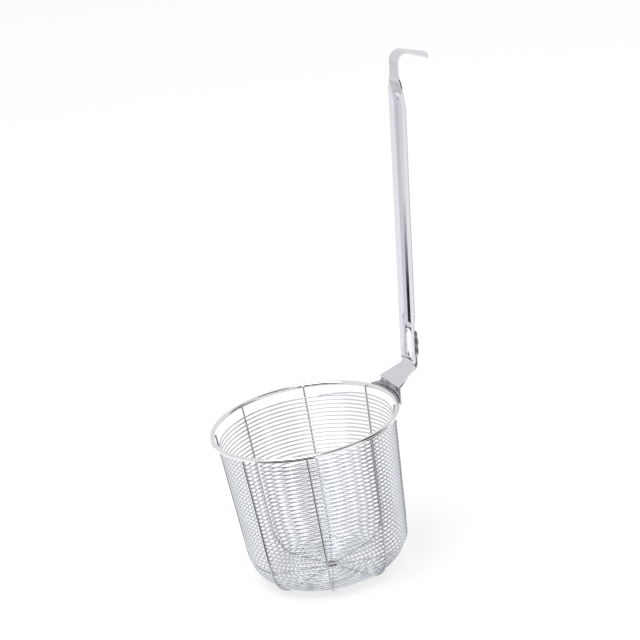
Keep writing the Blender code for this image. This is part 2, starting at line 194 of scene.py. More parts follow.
def colour(name, description, default):
    """Return a property for a colour."""
    return bpy.props.FloatVectorProperty(
        name=name, description=description, default=default, size=3, min=0.0, max=1.0, subtype="COLOR"
    )


class BasketSizes(bpy.types.PropertyGroup):
    """Sizes of the rim, the stays and the wound wire."""

    rim_od: metres("Rim", "Outside diameter of the rim", RIM_OD)
    rim_wire: metres("Rim wire", "Diameter of the rim's wire", RIM_WIRE)
    rim_z: metres("Rim height", "Height of the middle of the rim's wire", RIM_Z)
    rim_segments: count("Rim segments", "Segments round the rim", 240)
    rim_sides: count("Rim sides", "Sides of the rim's wire", 24)
    base_od: mm("Base", "Outside diameter at the foot of the stays", 150.0)
    stay_count: count("Stays", "Number of stays", 8)
    stay_wire: mm("Stay wire", "Diameter of a stay", 1.8)
    stay_corner: mm("Stay corner", "Bend of a stay at the bottom corner", 26.0)
    stay_above_rim: mm("Stay top", "How far a stay ends above the middle of the rim", 0.8)
    winding_wire: mm("Wound wire", "Diameter of the wound wire", 1.42)
    winding_pitch: mm("Pitch", "Distance between turns", 4.05)
    winding_corner: mm("Winding corner", "Bend of the winding at the bottom corner", 26.0)
    winding_drop: mm("Winding drop", "How far the first turn is below the rim", 6.6)
    winding_start: angle("Winding start", "Azimuth of the wire's top end", 58.0)
    winding_tuck: angle("Winding tuck", "Turn in which the top end leaves the one below", 38.0)
    winding_eye: mm("Winding eye", "Radius of the last turn on the floor", 7.0)
    winding_steps: count("Winding steps", "Steps in one turn of the winding", 96)
    weld_bite: mm("Weld bite", "How far a stay is pressed into the winding", 0.35)


class HandleSizes(bpy.types.PropertyGroup):
    """Sizes of the pressed handle, its bracket and its welds."""

    sheet: mm("Sheet", "Thickness of the sheet", 1.2)
    clearance: metres("Clearance", "Gap between the pieces", WELD_GAP)
    foot_below_rim: mm("Foot edge", "How far the foot reaches below the middle of the rim", 1.6)
    foot_hug: mm("Foot hug", "Height of the foot that follows the rim", 2.6)
    foot_top_z: mm("Fold height", "Height at which the foot is folded outwards", 161.3)
    foot_span: angle("Foot span", "How far the foot reaches round the rim", 41.0)
    foot_top_w: mm("Fold width", "Width at the fold", 41.0)
    foot_bend: mm("Foot bend", "Radius of the fold", 4.0)
    neck_rise: angle("Neck rise", "Slope of the neck", 31.4)
    neck_length: mm("Neck", "Length of the neck", 25.2)
    neck_bend: mm("Neck bend", "Radius between the neck and the lap", 5.0)
    lip_run: mm("Lip run", "Length over which the lips are folded up", 5.0)
    tilt: angle("Grip tilt", "How far the grip leans out", 7.4)
    grip_length: mm("Grip", "Length from the neck to the hook", 299.5)
    grip_w: mm("Grip width", "Width of the grip", 28.0)
    grip_top_w: mm("Top width", "Width of the grip below the shoulder", 29.4)
    wider_length: mm("Widening", "Length over which the grip widens", 90.0)
    lap_depth: mm("Lap depth", "Depth of the web at the lap", 3.3)
    grip_depth: mm("Grip depth", "Depth of the web along the grip", 4.7)
    corner: mm("Corner", "Inside radius between web and lip", 1.5)
    least_lip: mm("Least lip", "Straight edge of the sheet where it is flat", 0.15)
    channel_start: mm("Channel start", "Lower end of the deeper channel", 31.0)
    channel_gap: mm("Channel gap", "Gap between the channel and the shoulder", 4.0)
    end_wall: mm("End wall", "Run of the channel's lower end wall", 4.5)
    top_wall: mm("Top wall", "Run of the channel's upper end wall", 10.0)
    lip_fade: mm("Lip fade", "How far below the shoulder the lips start to fade", 13.0)
    lip_turn: angle("Lip turn", "How far the lips are folded up", 75.0)
    slot_start: mm("Slot start", "Lower end of the slot", 1.0)
    slot_length: mm("Slot length", "Length of the slot", 28.6)
    slot_w: mm("Slot width", "Width of the slot", 11.2)
    strap_length: mm("Strap", "Length of the strap behind the lap", 30.0)
    strap_w: mm("Strap width", "Width of the strap", 24.4)
    strap_leg: mm("Strap leg", "Width of each leg of the strap", 3.0)
    hook_w: mm("Hook width", "Width of the shank and the hook", 18.0)
    shank: mm("Shank", "Length of the plain shank", 26.0)
    shoulder: mm("Shoulder", "Length over which the grip narrows", 13.0)
    hook_bend: mm("Hook bend", "Radius of the hook", 9.5)
    hook_drop: angle("Hook drop", "How far the hook's arm points down", 23.0)
    hook_twist: angle("Hook twist", "How far the far edge of the hook's arm stands up", 9.0)
    hook_arm: mm("Hook arm", "Length of the hook's arm", 36.4)
    hook_tip: mm("Hook tip", "Rounding of the hook's end", 3.5)
    hook_skew: mm("Hook skew", "How much longer the hook's arm is on its far edge", 5.0)
    bead_start: mm("Bead start", "Lower end of the weld on the strap", 6.5)
    bead_length: mm("Bead length", "Length of the weld on the strap", 21.0)
    bead_r: mm("Bead radius", "Size of the weld on the strap", 1.4)
    foot_bead_r: mm("Foot bead", "Radius of the weld on the foot", 0.65)
    foot_bead_span: angle("Foot bead span", "How far the foot's weld reaches", 40.0)
    row_step: mm("Row step", "Length of one row of faces", 0.9)
    web_columns: count("Web columns", "Columns of faces from the middle of the web to its corner", 12)
    corner_columns: count("Corner columns", "Columns of faces in the rounded corner", 6)
    edge_round: mm("Edge rounding", "Rounding of the sheet's cut edges", 0.45)


class BasketFinish(bpy.types.PropertyGroup):
    """Colours and polish of the steel."""

    rim_colour: colour("Rim", "Polished wire of the rim", (0.86, 0.86, 0.88))
    wire_colour: colour("Wire", "Drawn wire of the winding", (0.72, 0.74, 0.78))
    # The stays are the same drawn wire as the winding. Their darker colour is painted shade that stands in
    # for the dark reflections the stays show.
    stay_painted_shade_colour: colour("Stay wire", "Darker drawn wire of the stays", (0.52, 0.52, 0.53))
    sheet_colour: colour("Sheet", "Pressed sheet of the handle", (0.73, 0.73, 0.775))
    tint_colour: colour("Heat tint", "Sheet of the foot, darkened by welding", (0.41, 0.41, 0.43))
    weld_colour: colour("Weld", "Oxide on the weld metal", (0.30, 0.28, 0.27))
    rim_roughness: share("Rim roughness", "Roughness of the polished rim", 0.04)
    wire_roughness: share("Wire roughness", "Roughness of the drawn wire", 0.10)
    sheet_roughness: share("Sheet roughness", "Roughness of the pressed sheet", 0.09)
    tint_roughness: share("Tint roughness", "Roughness of the heat-tinted sheet", 0.34)
    weld_roughness: share("Weld roughness", "Roughness of the weld metal", 0.5)


class StageSettings(bpy.types.PropertyGroup):
    """Camera, floor and light."""

    azimuth: angle("Azimuth", "Direction that the camera looks in, from +Y towards +X", 19.344)
    elevation: angle("Elevation", "Height of the camera above the horizon", 23.854)
    distance: mm("Distance", "Distance of the camera from its target", 2357.9)
    target_z: mm("Target height", "Height of the camera's target", 81.1)
    pan: angle("Pan", "Turn of the camera to the left of its target", -0.777)
    tilt: angle("Tilt", "Turn of the camera above its target", 3.775)
    roll: angle("Roll", "Roll of the camera", -10.837)
    lens: number("Lens", "Focal length on a 36 mm sensor", 140.68, "DISTANCE_CAMERA")
    floor_size: metres("Floor", "Side of the floor", 60.0)
    floor_colour: colour("Floor colour", "Pale floor", (0.86, 0.86, 0.86))
    floor_white: share("Floor white", "Share of plain white in the floor's look", 0.6)
    light_level: number("Light level", "Strength of the studio", 1.0)
    studio_grey: share("Studio grey", "Brightness of the studio's walls as steel reflects them", 0.84)
    lamp_power: number("Lamp power", "Power of the soft lamp overhead", 30.0, "POWER")


def select_only(obj):
    """Make an object the only selected one, and the active one."""
    bpy.ops.object.select_all(action="DESELECT")
    obj.select_set(True)
    bpy.context.view_layer.objects.active = obj


def start_line(name, place):
    """Add a mesh that is one point, in edit mode, to be drawn out into the line of a wire."""
    bpy.ops.mesh.primitive_plane_add(size=MM, location=place)
    bpy.ops.object.transform_apply()
    obj = bpy.context.object
    obj.name = name
    obj.data.name = name
    bpy.ops.object.mode_set(mode="EDIT")
    bpy.ops.mesh.select_all(action="SELECT")
    bpy.ops.mesh.merge(type="CENTER")
    return obj


def turn_outwards(smooth_angle, merge=0.0):
    """Turn the faces outwards and smooth blunt edges, once points closer than merge are joined."""
    bpy.ops.object.mode_set(mode="EDIT")
    bpy.ops.mesh.select_all(action="SELECT")
    if merge:
        bpy.ops.mesh.remove_doubles(threshold=merge)
    bpy.ops.mesh.normals_make_consistent(inside=False)
    bpy.ops.object.mode_set(mode="OBJECT")
    bpy.ops.object.shade_smooth_by_angle(angle=math.radians(smooth_angle))


def thicken(obj, diameter, sides):
    """Give the line of a wire its round section and closed ends."""
    select_only(obj)
    bpy.ops.object.convert(target="CURVE")
    line = bpy.context.object.data
    line.dimensions = "3D"
    line.twist_mode = "Z_UP"
    line.bevel_depth = diameter / 2
    line.bevel_resolution = sides // 2 - 2
    line.use_fill_caps = True
    bpy.ops.object.convert(target="MESH")
    turn_outwards(smooth_angle=60.0, merge=0.001 * MM)
    return bpy.context.object


def finish_piece(obj, steel_name, slot, *nodes):
    """Give a finished piece its steel, and hand it to the frame."""
    obj.data.materials.clear()
    obj.data.materials.append(steel(steel_name, bpy.context.scene.basket_finish))
    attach(obj, BODY)
    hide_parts(*nodes)


def apply_modifiers(obj):
    """Apply every modifier in order."""
    select_only(obj)
    for modifier in list(obj.modifiers):
        bpy.ops.object.modifier_apply(modifier=modifier.name)


def around(radius, azimuth, z):
    """Return the point at a radius and an azimuth."""
    return Vector((radius * math.cos(azimuth), radius * math.sin(azimuth), z))


def ease(value):
    """Return a smooth step from 0 to 1."""
    value = min(1.0, max(0.0, value))
    return value * value * (3 - 2 * value)


class Outline:
    """Half outline of the basket in (radius, z): wall, corner arc and flat floor."""

    def __init__(self, sizes, inset, corner, top_z):
        top_r = sizes.rim_od / 2 - sizes.rim_wire - sizes.stay_wire / 2 - WELD_GAP
        base_r = (sizes.base_od - sizes.stay_wire) / 2
        stay_z = sizes.stay_wire / 2
        self.lean = math.atan2(top_r - base_r, sizes.rim_z - stay_z)
        self.radius = corner
        self.floor_z = stay_z + inset
        self.centre_z = self.floor_z + corner
        side = top_r - inset / math.cos(self.lean)
        here = side - (sizes.rim_z - self.centre_z) * math.tan(self.lean)
        self.centre_r = here - corner / math.cos(self.lean)
        self.foot_r = self.centre_r + corner * math.cos(self.lean)
        self.foot_z = self.centre_z - corner * math.sin(self.lean)
        self.wall = (top_z - self.foot_z) / math.cos(self.lean)
        self.arc = corner * (math.pi / 2 - self.lean)

    def point(self, distance):
        """Return (radius, z) at a distance from the top of the wall."""
        if distance <= self.wall:
            left = self.wall - distance
            return self.foot_r + left * math.sin(self.lean), self.foot_z + left * math.cos(self.lean)
        if distance <= self.wall + self.arc:
            turned = self.lean + (distance - self.wall) / self.radius
            radius = self.centre_r + self.radius * math.cos(turned)
            return radius, self.centre_z - self.radius * math.sin(turned)
        return self.centre_r - (distance - self.wall - self.arc), self.floor_z


class BASKET_OT_rim(bpy.types.Operator):
    """Bend the thick polished wire of the rim"""

    bl_idname = "basket.rim"
    bl_label = "Rim"

    def execute(self, context):
        sizes = context.scene.basket_sizes
        bpy.ops.mesh.primitive_torus_add(
            major_radius=(sizes.rim_od - sizes.rim_wire) / 2,
            minor_radius=sizes.rim_wire / 2,
            major_segments=sizes.rim_segments,
            minor_segments=sizes.rim_sides,
            location=(0, 0, sizes.rim_z),
        )
        bpy.ops.object.transform_apply()
        rim = bpy.context.object
        rim.name = "rim_wire"
        bpy.ops.object.shade_smooth()
        finish_piece(rim, "Polished wire", "rim_wire", "rim_ring")
        return {"FINISHED"}


class BASKET_OT_stays(bpy.types.Operator):
    """Draw out one stay, bend it round the corner, and copy it round the basket"""

    bl_idname = "basket.stays"
    bl_label = "Stays"

    def execute(self, context):
        sizes = context.scene.basket_sizes
        line = Outline(sizes, 0.0, sizes.stay_corner, sizes.rim_z + sizes.stay_above_rim)
        top_r, top_z = line.point(0.0)
        stay = start_line("stay", (top_r, 0.0, top_z))
        down = Vector((line.foot_r - top_r, 0.0, line.foot_z - top_z))
        bpy.ops.mesh.extrude_region_move(TRANSFORM_OT_translate={"value": down})
        bpy.ops.mesh.spin(
            steps=STAY_BEND_STEPS,
            angle=math.pi / 2 - line.lean,
            center=(line.centre_r, 0.0, line.centre_z),
            axis=(0, -1, 0),
        )
        inwards = Vector((STAY_END_R - line.centre_r, 0.0, 0.0))
        bpy.ops.mesh.extrude_region_move(TRANSFORM_OT_translate={"value": inwards})
        bpy.ops.object.mode_set(mode="OBJECT")
        stay = thicken(stay, sizes.stay_wire, STAY_SIDES)
        step = 2 * math.pi / sizes.stay_count
        for index in range(sizes.stay_count):
            copy = stay.copy()
            copy.data = stay.data.copy()
            copy.name = f"stay_wire_{index + 1}"
            context.collection.objects.link(copy)
            copy.data.transform(Matrix.Rotation(step * (index + 0.5), 4, "Z"))
            finish_piece(copy, "Stay wire", "drawn_wire", f"stay_{index + 1}")
        bpy.data.objects.remove(stay)
        return {"FINISHED"}


class BASKET_OT_winding(bpy.types.Operator):
    """Wind one long wire down the wall and in over the floor"""

    bl_idname = "basket.winding"
    bl_label = "Winding"

    def execute(self, context):
        sizes = context.scene.basket_sizes
        inset = (sizes.stay_wire + sizes.winding_wire) / 2 - sizes.weld_bite
        line = Outline(sizes, inset, sizes.winding_corner, sizes.rim_z - sizes.winding_drop)
        travel = line.wall + line.arc + line.centre_r - sizes.winding_eye
        turns = travel / sizes.winding_pitch
        tuck_drop = sizes.winding_pitch - sizes.winding_wire
        coil = start_line("wound_wire", (1.0, 0.0, 0.0))
        bpy.ops.object.mode_set(mode="OBJECT")
        screw = coil.modifiers.new("turns", "SCREW")
        screw.axis = "Z"
        screw.angle = -2 * math.pi * turns
        screw.screw_offset = -travel
        screw.steps = round(turns * sizes.winding_steps)
        screw.render_steps = screw.steps
        apply_modifiers(coil)
        for vertex in coil.data.vertices:
            travelled = -vertex.co.z
            turned = 2 * math.pi * travelled / sizes.winding_pitch
            tuck = tuck_drop * (1.0 - ease(turned / sizes.winding_tuck))
            radius, z = line.point(travelled + tuck)
            azimuth = sizes.winding_start + math.atan2(vertex.co.y, vertex.co.x)
            vertex.co = around(radius, azimuth, z)
        coil = thicken(coil, sizes.winding_wire, WINDING_SIDES)
        finish_piece(coil, "Wound wire", "drawn_wire", "winding_wire")
        return {"FINISHED"}


class BASKET_OT_nugget(bpy.types.Operator):
    """Melt the nugget that joins the stays under the floor"""

    bl_idname = "basket.nugget"
    bl_label = "Floor nugget"

    def execute(self, context):
        sizes = context.scene.basket_sizes
        bpy.ops.mesh.primitive_uv_sphere_add(segments=48, ring_count=24, radius=1.0, location=(0, 0, 0))
        nugget = bpy.context.object
        nugget.name = "floor_nugget"
        low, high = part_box("centre_weld")
        for vertex in nugget.data.vertices:
            x, y, z = vertex.co
            lobe = 1.0 + NUGGET_LOBES * math.cos(sizes.stay_count * math.atan2(y, x) + math.pi)
            flat = math.copysign(abs(z) ** NUGGET_FLATNESS, z)
            vertex.co = (high.x * lobe * x, high.x * lobe * y, low.z + (high.z - low.z) * (flat + 1) / 2)
        bpy.ops.object.shade_smooth()
        finish_piece(nugget, "Weld metal", "weld_metal", "centre_weld")
        return {"FINISHED"}


class Path:
    """Line in the XZ plane made of straight runs joined by arcs, with its back on the right hand."""

    def __init__(self, corners, radii):
        self.pieces = []
        place = Vector(corners[0])
        for before, corner, after, radius in zip(corners, corners[1:], corners[2:], radii):
            corner = Vector(corner)
            ahead = (corner - Vector(before)).normalized()
            away = (Vector(after) - corner).normalized()
            turn = math.atan2(ahead.x * away.y - ahead.y * away.x, ahead.dot(away))
            cut = radius * math.tan(abs(turn) / 2)
            self.add_run(place, corner - ahead * cut)
            self.pieces.append((corner - ahead * cut, ahead, radius, turn, radius * abs(turn)))
            place = corner + away * cut
        self.add_run(place, Vector(corners[-1]))
        self.length = sum(piece[-1] for piece in self.pieces)

    def add_run(self, start, end):
        """Add a straight run."""
        self.pieces.append((start, (end - start).normalized(), 0.0, 0.0, (end - start).length))

    def start_of(self, index):
        """Return the distance at which a run or arc starts."""
        return sum(piece[-1] for piece in self.pieces[:index])

    def at(self, distance):
        """Return the point and the direction at a distance."""
        index = 0
        while index < len(self.pieces) - 1 and distance > self.pieces[index][-1]:
            distance -= self.pieces[index][-1]
            index += 1
        start, ahead, radius, turn, _ = self.pieces[index]
        if radius == 0.0:
            return start + ahead * distance, ahead
        inwards = Vector((-ahead.y, ahead.x)) * math.copysign(1.0, turn)
        done = distance / radius
        here = start + ahead * radius * math.sin(done) + inwards * radius * (1 - math.cos(done))
        return here, ahead * math.cos(done) + inwards * math.sin(done)

    def place(self, distance, across, depth):
        """Return the 3D point at a distance along the line, off to one side and behind it."""
        here, ahead = self.at(distance)
        here = here + Vector((ahead.y, -ahead.x)) * depth
        return Vector((here.x, across, here.y))


class Strip:
    """Form of the pressed handle: a channel whose lips stand forward to the front line."""

    def __init__(self, sizes, rim_od):
        self.sizes = sizes
        self.step = sizes.sheet + sizes.clearance
        self.foot_r = rim_od / 2 + sizes.clearance
        rise = sizes.neck_rise
        start_r = self.foot_r - math.sin(rise) * self.step
        start = Vector((start_r, sizes.foot_top_z + math.cos(rise) * self.step))
        bend = start + Vector((math.cos(rise), math.sin(rise))) * sizes.neck_length
        top = bend + Vector((math.sin(sizes.tilt), math.cos(sizes.tilt))) * sizes.grip_length
        tip = top + Vector((math.cos(sizes.hook_drop), -math.sin(sizes.hook_drop))) * sizes.hook_arm
        self.path = Path([start, bend, top, tip], [sizes.neck_bend, sizes.hook_bend])
        self.bend = self.path.start_of(1)
        self.straight = self.path.start_of(2)
        self.shoulder = self.straight + sizes.grip_length - sizes.shank - sizes.shoulder
        self.hook = self.path.start_of(3)
        self.floor_half = sizes.grip_w / 2 - sizes.sheet - sizes.corner

    def web_depth(self, distance, across):
        """Return how far the web is behind the front line."""
        sizes = self.sizes
        outer = self.floor_half + sizes.end_wall
        below = max(self.straight + sizes.channel_start + outer - distance, 0.0)
        deeper = sizes.grip_depth - sizes.lap_depth
        deeper *= ease((outer - math.hypot(below, across)) / sizes.end_wall)
        outer = self.floor_half + sizes.top_wall
        above = max(distance - self.shoulder + sizes.channel_gap + outer, 0.0)
        deeper *= ease((outer - math.hypot(above, across)) / sizes.top_wall)
        sunk = min(1.0, distance / self.bend)
        past = distance - self.shoulder + sizes.lip_fade
        return deeper + sizes.lap_depth * sunk * (1.0 - ease(past / (sizes.shoulder + sizes.lip_fade)))

    def half(self, distance):
        """Return half the outside width."""
        sizes = self.sizes
        neck = min(1.0, distance / self.bend)
        past_shoulder = distance - self.shoulder
        width = sizes.foot_top_w + (sizes.grip_w - sizes.foot_top_w) * neck
        width += (sizes.grip_top_w - sizes.grip_w) * ease(1.0 + past_shoulder / sizes.wider_length)
        width += (sizes.hook_w - sizes.grip_top_w) * ease(past_shoulder / sizes.shoulder)
        half = width / 2
        to_tip = self.path.length - distance
        if to_tip < sizes.hook_tip:
            half -= sizes.hook_tip - math.sqrt(max(0.0, sizes.hook_tip**2 - (sizes.hook_tip - to_tip) ** 2))
        return half

    def section(self, distance):
        """Return the bend of the lips, their straight part and the half width of the web."""
        sizes = self.sizes
        depth = self.web_depth(distance, self.floor_half)
        lips = ease((distance - self.bend) / sizes.lip_run)
        turn = sizes.lip_turn * lips * ease(LIP_FOLD * depth / sizes.corner)
        lip = max(depth - sizes.corner, sizes.least_lip)
        ahead = arc_reach(sizes.corner * math.pi / 2, turn)[0]
        out = ahead + lip * math.cos(turn)
        return turn, lip, self.half(distance) - out - sizes.sheet * math.sin(turn)

    def place(self, distance, across, depth):
        """Return the point at a depth behind the front line, with the hook's twist and longer far edge."""
        out = ease((distance - self.hook) / (self.path.length - self.hook))
        depth -= across * math.tan(out * self.sizes.hook_twist)
        distance += out * self.sizes.hook_skew * across / self.sizes.hook_w
        return self.path.place(distance, across, depth)

    def web_point(self, distance, across):
        """Return the point of the web at a distance along and across the strip."""
        flat = self.section(distance)[2]
        depth = self.web_depth(distance, abs(across) / flat * self.floor_half)
        return self.place(distance, across, depth)

    def lip_point(self, distance, side, part):
        """Return the point of the corner, or with a part over 1, of the straight edge of the lip."""
        sizes = self.sizes
        turn, lip, flat = self.section(distance)
        depth = self.web_depth(distance, self.floor_half)
        bent = min(part, 1.0)
        ahead, aside = arc_reach(sizes.corner * math.pi / 2 * bent, turn * bent)
        past = lip * max(0.0, part - 1.0)
        across = flat + ahead + past * math.cos(turn)
        return self.place(distance, side * across, depth - aside - past * math.sin(turn))


def arc_reach(length, turn):
    """Return how far an arc of this length and turn goes ahead and to the side."""
    if turn < 1e-6:
        return length, 0.0
    return length * math.sin(turn) / turn, length * (1 - math.cos(turn)) / turn


def from_slot(distance, across, slot):
    """Return the vector from the slot's middle line, which is shorter than half its width inside."""
    first, last, half = slot
    nearest = min(max(distance, first + half), last - half)
    return Vector((distance - nearest, across))


def press_sheet(name, rows, columns, place_of, slot, sizes):
    """Press a flat grid of faces into a sheet with a slot, its real thickness and rounded edges.

    place_of(row, column) gives (distance, across, function of both that returns the point).
    """
    bpy.ops.mesh.primitive_grid_add(x_subdivisions=columns, y_subdivisions=rows, size=1.0)
    sheet = bpy.context.object
    sheet.name = name
    mesh = sheet.data
    mesh.name = name
    places = []
    for vertex in mesh.vertices:
        column = round((vertex.co.x + 0.5) * columns)
        row = round((vertex.co.y + 0.5) * rows)
        places.append(list(place_of(row, column)))
    half = slot[-1]
    inside = set()
    cut = set()
    kept = set()
    for face in mesh.polygons:
        middle = [sum(places[i][axis] for i in face.vertices) / len(face.vertices) for axis in (0, 1)]
        if from_slot(*middle, slot).length < half:
            inside.add(face.index)
            cut.update(face.vertices)
        else:
            kept.update(face.vertices)
    for i in cut & kept:
        away = from_slot(*places[i][:2], slot)
        for axis in (0, 1):
            places[i][axis] += (half / away.length - 1) * away[axis]
    layer = mesh.uv_layers[0]
    for loop in mesh.loops:
        distance, across, _ = places[loop.vertex_index]
        layer.data[loop.index].uv = (across, distance)
    for vertex, (distance, across, point) in zip(mesh.vertices, places):
        vertex.co = point(distance, across)
    bpy.ops.object.mode_set(mode="EDIT")
    bpy.ops.mesh.select_mode(type="FACE")
    bpy.ops.mesh.select_all(action="DESELECT")
    bpy.ops.object.mode_set(mode="OBJECT")
    for face in mesh.polygons:
        face.select = face.index in inside
    bpy.ops.object.mode_set(mode="EDIT")
    bpy.ops.mesh.delete(type="FACE")
    bpy.ops.object.mode_set(mode="OBJECT")
    solid = sheet.modifiers.new("thickness", "SOLIDIFY")
    solid.thickness = sizes.sheet
    solid.offset = 1.0
    solid.use_even_offset = True
    rounding = sheet.modifiers.new("edges", "BEVEL")
    rounding.width = sizes.edge_round
    rounding.segments = 4
    rounding.limit_method = "ANGLE"
    rounding.angle_limit = math.radians(50.0)
    apply_modifiers(sheet)
    turn_outwards(smooth_angle=35.0)
    return sheet


class BASKET_OT_handle(bpy.types.Operator):
    """Press the handle: neck, slotted lap, channelled grip, shoulder and hook"""

    bl_idname = "basket.handle"
    bl_label = "Handle"

    def execute(self, context):
        sizes = context.scene.handle_sizes
        strip = Strip(sizes, context.scene.basket_sizes.rim_od)
        run = strip.path.length - HOOK_TRIM
        rows = round(run / sizes.row_step)
        web = sizes.web_columns
        side_columns = web + sizes.corner_columns + 1
        columns = 2 * side_columns

        def place_of(row, column):
            distance = run * row / rows
            side = 1.0 if column > side_columns else -1.0
            step = abs(column - side_columns)
            flat = strip.section(distance)[2]
            if step <= web:
                return distance, side * flat * step / web, strip.web_point
            part = (step - web) / sizes.corner_columns
            if step == side_columns:
                part = 2.0
            across = side * (flat + (step - web) * FLAT_COLUMN)
            return distance, across, lambda s, _: strip.lip_point(s, side, part)

        start = strip.straight + sizes.slot_start
        slot = (start, start + sizes.slot_length, sizes.slot_w / 2)
        handle = press_sheet("handle_strip", rows, columns, place_of, slot, sizes)
        finish_piece(handle, "Pressed sheet", "pressed_sheet", "handle")
        return {"FINISHED"}


class BASKET_OT_bracket(bpy.types.Operator):
    """Press the foot bracket: curved foot, neck, and the fork behind the lap"""

    bl_idname = "basket.bracket"
    bl_label = "Foot bracket"

    def execute(self, context):
        sizes = context.scene.handle_sizes
        rim_z = context.scene.basket_sizes.rim_z
        strip = Strip(sizes, context.scene.basket_sizes.rim_od)
        behind = sizes.lap_depth + strip.step
        high = strip.path.place(strip.bend, 0.0, behind).xz
        foot = Vector((strip.foot_r, rim_z - sizes.foot_below_rim))
        low = Vector((strip.foot_r, sizes.foot_top_z))
        lower = Path([foot, low, high], [sizes.foot_bend])
        fold = lower.start_of(1)
        neck = lower.start_of(2)
        total = lower.length + strip.straight - strip.bend + sizes.strap_length
        rows = round(total / sizes.row_step)
        columns = 2 * (sizes.web_columns + sizes.corner_columns)

        def half_at(distance):
            narrowing = NECK_NARROWING * (distance - neck) / (lower.length - neck)
            narrowing = min(1.0, max(0.0, narrowing))
            return (sizes.foot_top_w + (sizes.strap_w - sizes.foot_top_w) * narrowing) / 2

        def bracket_point(distance, across):
            if distance > lower.length:
                return strip.path.place(strip.bend + distance - lower.length, across, behind)
            here = lower.place(distance, across, 0.0)
            blend = ease((distance - sizes.foot_hug) / (fold - sizes.foot_hug))
            turned = across / half_at(distance) * sizes.foot_span / 2
            return around(strip.foot_r, turned, here.z).lerp(here, blend)

        def place_of(row, column):
            distance = total * row / rows
            return distance, half_at(distance) * (2 * column / columns - 1), bracket_point

        fork = sizes.strap_w / 2 - sizes.strap_leg
        start = lower.length + strip.straight - strip.bend
        slot = (start, total + 4 * fork, fork)
        bracket = press_sheet("bracket_plate", rows, columns, place_of, slot, sizes)
        finish_piece(bracket, "Heat tinted sheet", "tinted_sheet", "foot_bracket")
        return {"FINISHED"}


def melt_bead(name, balls, voxel):
    """Melt a row of balls into one lumpy weld bead."""
    made = []
    for place, radius, squash in balls:
        bpy.ops.mesh.primitive_uv_sphere_add(segments=24, ring_count=16, radius=radius, location=place)
        ball = bpy.context.object
        ball.scale = squash
        made.append(ball)
    for ball in made:
        ball.select_set(True)
    bpy.context.view_layer.objects.active = made[0]
    bpy.ops.object.transform_apply()
    bpy.ops.object.join()
    bead = bpy.context.object
    bead.name = name
    melt = bead.modifiers.new("melt", "REMESH")
    melt.mode = "VOXEL"
    melt.voxel_size = voxel
    soften = bead.modifiers.new("soften", "SMOOTH")
    soften.factor = 0.5
    soften.iterations = 4
    apply_modifiers(bead)
    bpy.ops.object.shade_smooth()
    return bead


class BASKET_OT_beads(bpy.types.Operator):
    """Melt the lumpy welds between the strap and the back of the lap, and on the foot"""

    bl_idname = "basket.beads"
    bl_label = "Weld beads"

    def execute(self, context):
        sizes = context.scene.handle_sizes
        basket = context.scene.basket_sizes
        strip = Strip(sizes, basket.rim_od)
        first = strip.straight + sizes.bead_start
        strap_back = sizes.lap_depth + 2 * strip.step - WELD_GAP
        for side, name in ((-1.0, "near"), (1.0, "far")):
            balls = []
            for i in range(STRAP_LUMPS):
                part = i / (STRAP_LUMPS - 1)
                swell = math.sin(math.pi * (SWELL_START + SWELL_SPAN * part)) ** SWELL_POWER
                wave = math.cos(2 * math.pi * RIPPLE_COUNT * (part - RIPPLE_START))
                radius = sizes.bead_r * swell * (1 - RIPPLE_SHARE + RIPPLE_SHARE * wave)
                across = side * (sizes.strap_w / 2 + WANDER * math.sin(WANDER_TURN * i + side))
                place = strip.path.place(first + sizes.bead_length * part, across, strap_back)
                balls.append((place, radius, LUMP_SHAPE))
            bead = melt_bead(f"seam_bead_{name}", balls, STRAP_VOXEL)
            finish_piece(bead, "Weld metal", "weld_metal", f"handle_weld_{name}")
        radius = strip.foot_r - sizes.clearance - sizes.foot_bead_r
        rim_r = (basket.rim_od - basket.rim_wire) / 2
        reach = basket.rim_wire / 2 + sizes.foot_bead_r
        rise = math.sqrt(reach**2 - (radius - rim_r) ** 2)
        balls = []
        for i in range(FOOT_LUMPS + 1):
            azimuth = sizes.foot_bead_span * (i / FOOT_LUMPS - 0.5)
            size = sizes.foot_bead_r * sum((part * math.sin(turn * i) for part, turn in FOOT_RIPPLES), 1.0)
            balls.append((around(radius, azimuth, basket.rim_z + rise), size, (1.0, 1.0, 1.0)))
        bead = melt_bead("foot_bead", balls, FOOT_VOXEL)
        finish_piece(bead, "Heat tinted sheet", "weld_metal", "foot_weld")
        return {"FINISHED"}


def feed(tree, node, inputs):
    """Set inputs of a node, or link them where the value is another node's output."""
    for key, value in inputs.items():
        if isinstance(value, bpy.types.NodeSocket):
            tree.links.new(value, node.inputs[key])
        else:
            node.inputs[key].default_value = value


def add_node(tree, kind, inputs=None, **values):
    """Add a shader node beside the others, set its properties and feed its inputs."""
    node = tree.nodes.new(kind)
    node.location.x = NODE_STEP * len(tree.nodes)
    for key, value in values.items():
        setattr(node, key, value)
    feed(tree, node, inputs or {})
    return node


def calculate(tree, operation, *inputs, clamp=False):
    """Add a math node and return its result."""
    numbered = dict(enumerate(inputs))
    return add_node(tree, "ShaderNodeMath", numbered, operation=operation, use_clamp=clamp).outputs[0]


def mix_shaders(tree, factor, first, second):
    """Mix the shaders of two nodes and return the result."""
    inputs = {"Fac": factor, 1: first.outputs[0], 2: second.outputs[0]}
    return add_node(tree, "ShaderNodeMixShader", inputs).outputs[0]


def new_group(name, inputs, outputs):
    """Return a new node group, the outputs of its input node, and its output node."""
    group = bpy.data.node_groups.new(name, "ShaderNodeTree")
    for way, sockets in (("INPUT", inputs), ("OUTPUT", outputs)):
        for label, kind in sockets.items():
            group.interface.new_socket(label, in_out=way, socket_type=f"NodeSocket{kind}")
    source = add_node(group, "NodeGroupInput")
    return group, source.outputs, add_node(group, "NodeGroupOutput")


